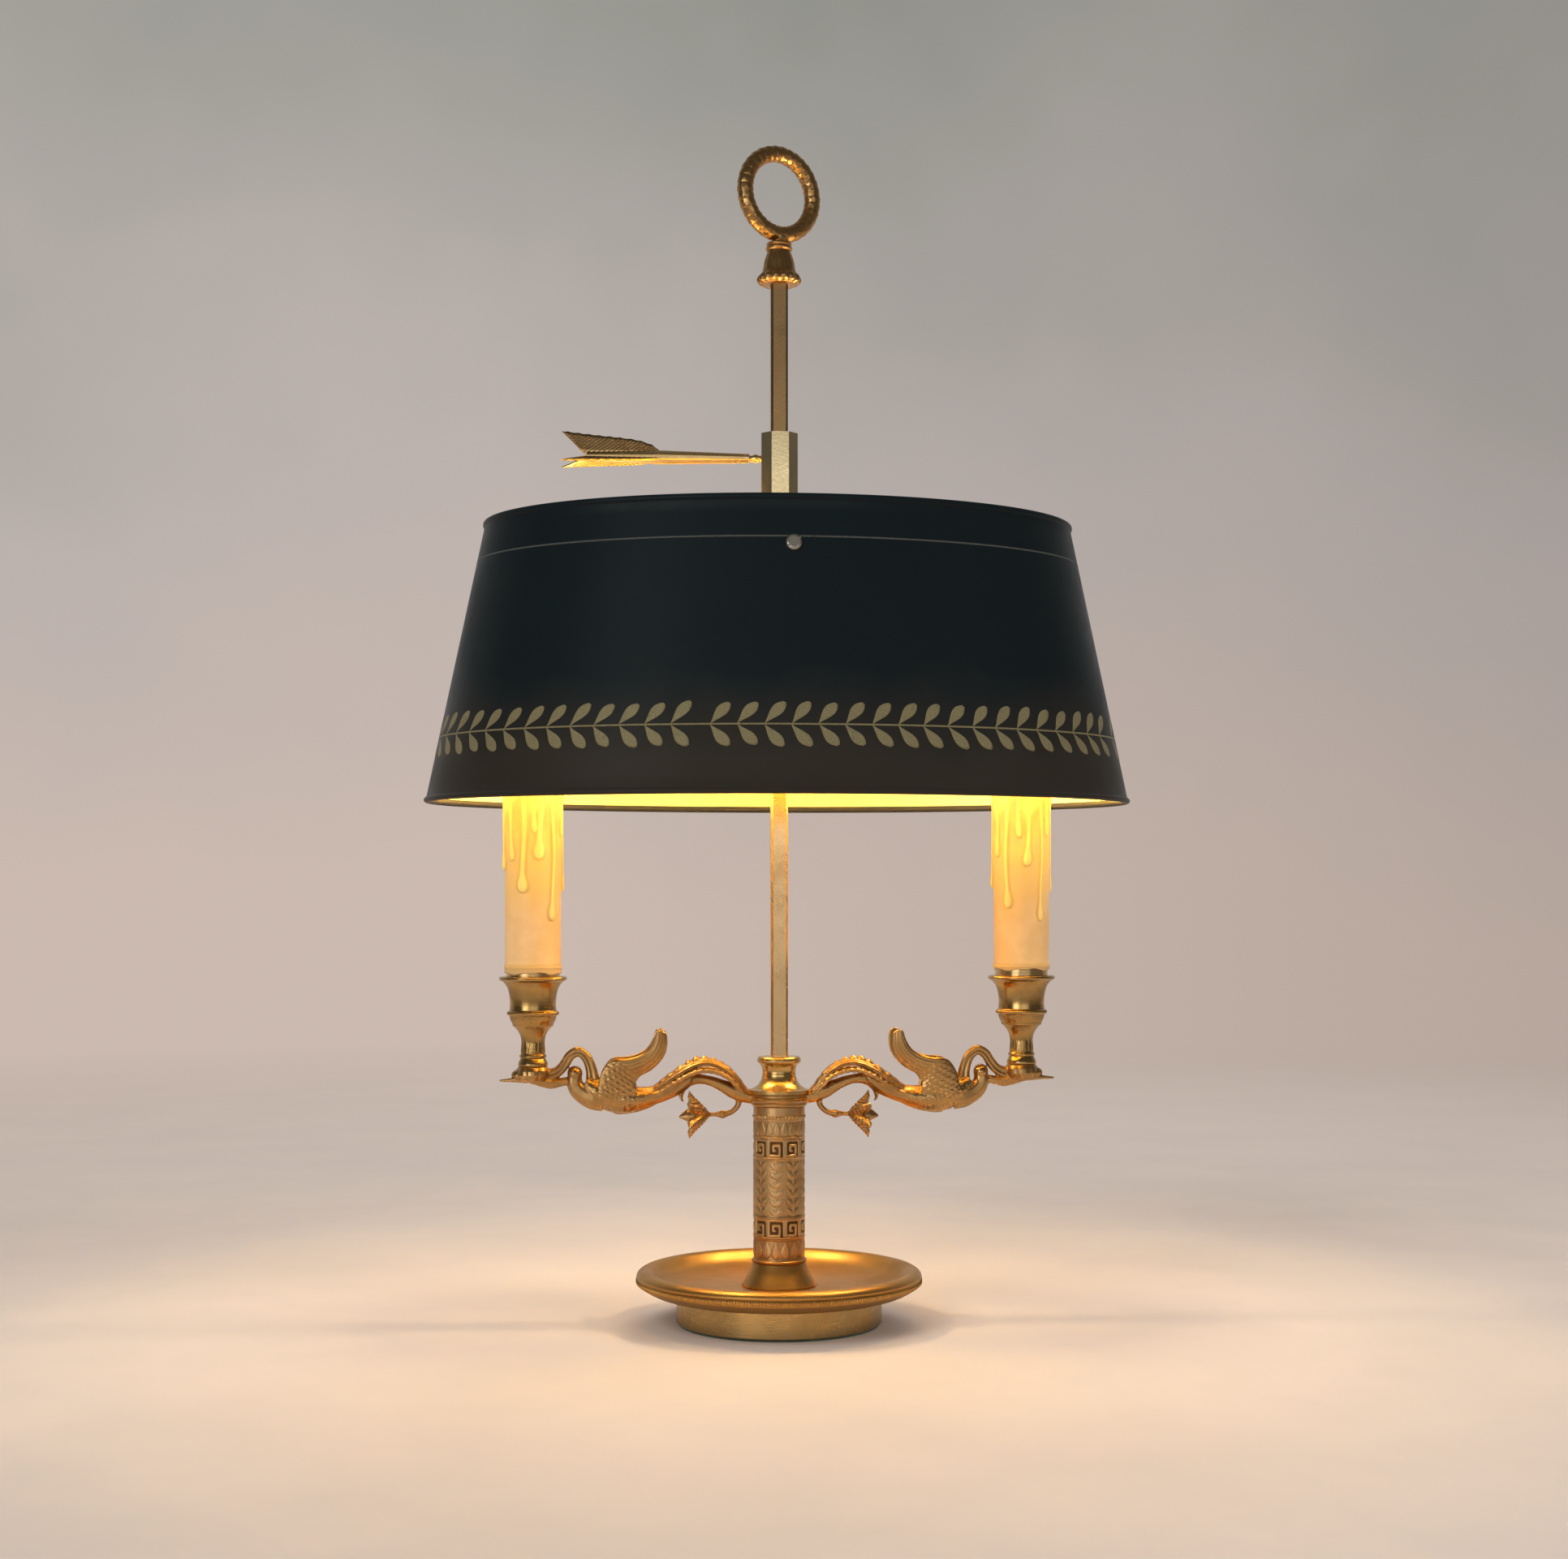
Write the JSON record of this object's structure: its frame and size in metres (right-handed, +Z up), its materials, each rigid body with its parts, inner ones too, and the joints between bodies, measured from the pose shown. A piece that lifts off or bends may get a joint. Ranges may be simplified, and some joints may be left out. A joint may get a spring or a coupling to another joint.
{
  "type": "bouillotte lamp",
  "caption": "Table lamp with candle-style sockets on swan arms and an oval metal shade that slides on a square bar and is clamped by an arrow-shaped key.",
  "frame": {"origin": "centre of the felt under the foot, on the table", "axes": "+Z up the bar, X along the two arms with the arrow key towards -X, front of the lamp towards -Y"},
  "size_m": [0.3538, 0.2298, 0.5912],
  "materials": {
    "felt": "dark green felt",
    "brass_foot": "polished, slightly dark",
    "brass_satin": "satin turned",
    "brass_cast": "cast and chased, patinated",
    "brass_polished": "polished",
    "brass_bar": "drawn bar, lightly worn",
    "steel": "plated",
    "bush": "moulded",
    "candle": "ivory wax look",
    "holder": "moulded",
    "bulb_cap": "rolled thread",
    "bulb_glass": "frosted, lit",
    "painted_tin": "dark green enamel, cream inside",
    "screw_nickel": "dull nickel"
  },
  "bodies": {
    "lamp": {"arm_hub": "brass_cast", "base_nut": "steel", "base_plate": "steel", "base_washer": "steel", "bulb_cap_left": "bulb_cap", "bulb_cap_right": "bulb_cap", "bulb_glass_left": "bulb_glass", "bulb_glass_right": "bulb_glass", "cable_bush": "bush", "candle_cup_left": "brass_polished", "candle_cup_right": "brass_polished", "candle_sleeve_left": "candle", "candle_sleeve_right": "candle", "column": "brass_cast", "column_cap": "brass_polished", "column_foot": "brass_cast", "cup_nipple_left": "steel", "cup_nipple_right": "steel", "drip_pan": "brass_satin", "felt_pad": "felt", "finial": "brass_cast", "foot_ring": "brass_foot", "lamp_holder_left": "holder", "lamp_holder_right": "holder", "ring_handle": "brass_cast", "sleeve_seat_left": "brass_polished", "sleeve_seat_right": "brass_polished", "square_bar": "brass_bar", "swan_arm_left": "brass_cast", "swan_arm_right": "brass_cast", "tie_rod": "steel"},
    "shade_carriage": {"shade_collar": "brass_polished", "shade_spider": "brass_bar", "shade_shell": "painted_tin", "shade_screws": "screw_nickel"},
    "pad": {"clamp_pad": "brass_bar"},
    "key": {"arrow_key": "brass_polished"}
  },
  "joints": [
    {"name": "shade_slide", "type": "slide", "parent": "lamp", "child": "shade_carriage", "axis": [0, 0, 1], "range_m": [-0.08, 0.074]},
    {"name": "key_feed", "type": "slide", "parent": "shade_carriage", "child": "pad", "axis": [1, 0, 0], "range_m": [-0.00075, 0]},
    {"name": "key_turn", "type": "hinge", "parent": "pad", "child": "key", "pos_m": [-0.06, 0, 0.434], "axis": [1, 0, 0], "range_deg": [-270, 0]}
  ],
  "couplings": [
    {"joint": "key_turn", "follows": "key_feed", "rad_per_m": 6283.2}
  ]
}
